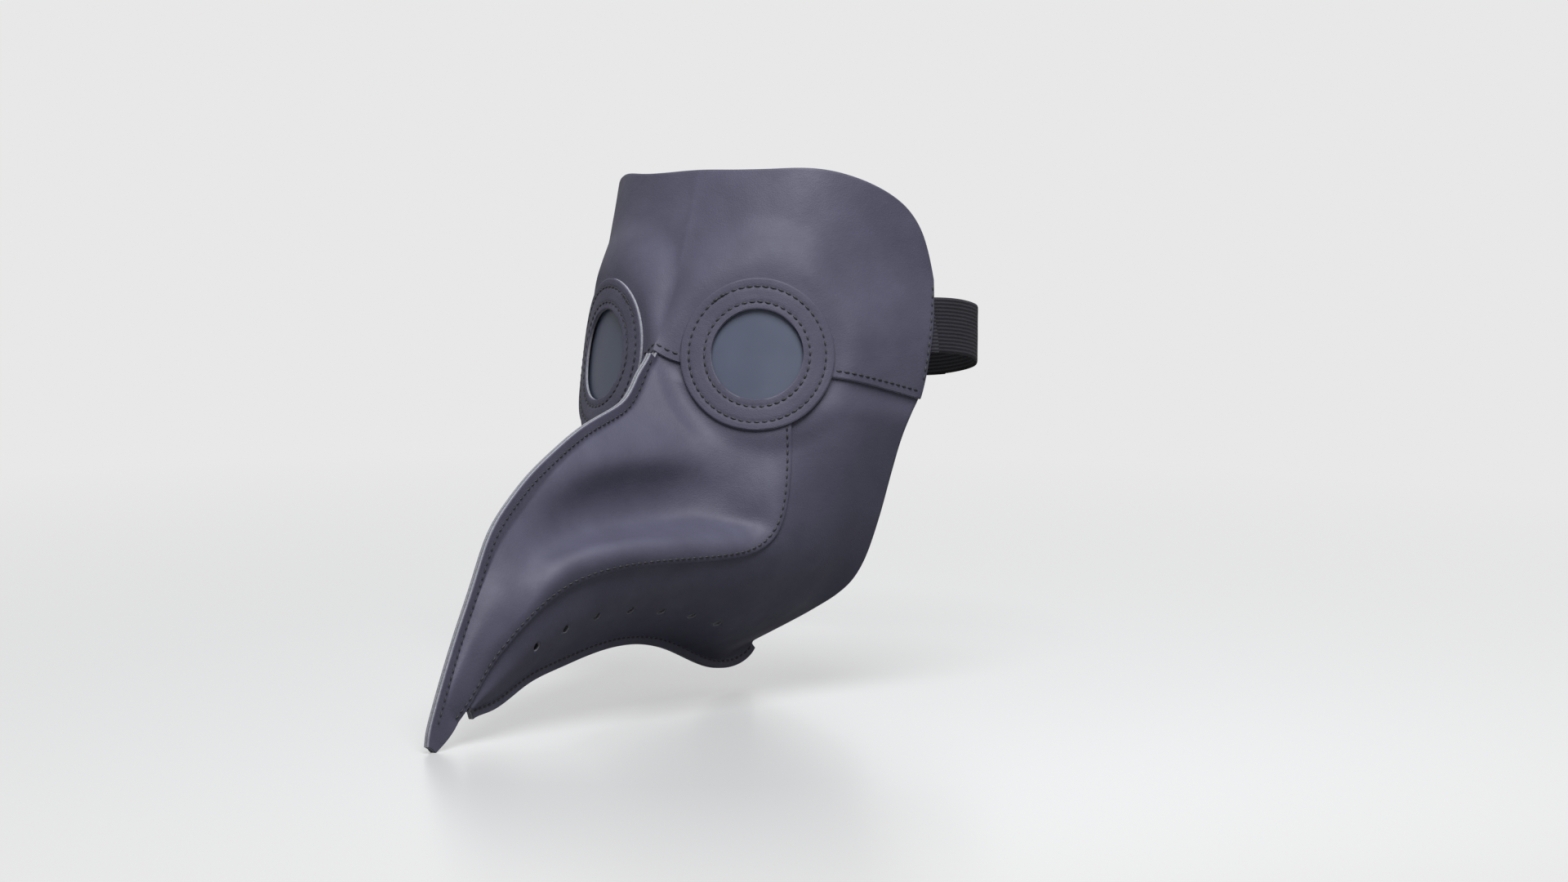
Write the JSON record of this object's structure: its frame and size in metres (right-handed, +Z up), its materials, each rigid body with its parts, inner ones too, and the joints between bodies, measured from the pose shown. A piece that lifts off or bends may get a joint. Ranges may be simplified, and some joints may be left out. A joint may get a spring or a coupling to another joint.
{
  "type": "plague doctor mask",
  "caption": "Sewn leather face mask with a long hooked beak, round dark eye windows, vent holes and an elastic head band that opens at the back.",
  "frame": {"origin": "the brow between the eyes, just behind the middle of the brow seam", "axes": "+Z up, -Y forwards along the beak, +X to the wearer's left"},
  "size_m": [0.208, 0.4545, 0.3143],
  "materials": {
    "leather": "matte fine grain",
    "lens": "satin dark",
    "elastic": "woven",
    "hook_and_loop": "napped"
  },
  "bodies": {
    "mask": {"forehead_panel": "leather", "beak_top_left": "leather", "beak_top_right": "leather", "cheek_left": "leather", "cheek_right": "leather", "eye_ring_left": "leather", "eye_ring_right": "leather", "lens_left": "lens", "lens_right": "lens", "strap_tab_left": "elastic", "strap_tab_right": "elastic"},
    "left_band": {"strap_left": "elastic", "loop_patch": "hook_and_loop"},
    "right_band": {"strap_right": "elastic"},
    "closure": {"strap_flap": "elastic", "hook_patch": "hook_and_loop"}
  },
  "joints": [
    {"name": "strap_left_swing", "type": "hinge", "parent": "mask", "child": "left_band", "pos_m": [0.098, 0.126, 0.016], "axis": [0, 0, 1], "range_deg": [0, 55]},
    {"name": "strap_right_swing", "type": "hinge", "parent": "mask", "child": "right_band", "pos_m": [-0.098, 0.126, 0.016], "axis": [0, 0, 1], "range_deg": [0, 80]},
    {"name": "flap_peel", "type": "hinge", "parent": "right_band", "child": "closure", "pos_m": [-0.02375, 0.24443, 0.016], "axis": [0, 0, 1], "range_deg": [0, 120]}
  ]
}
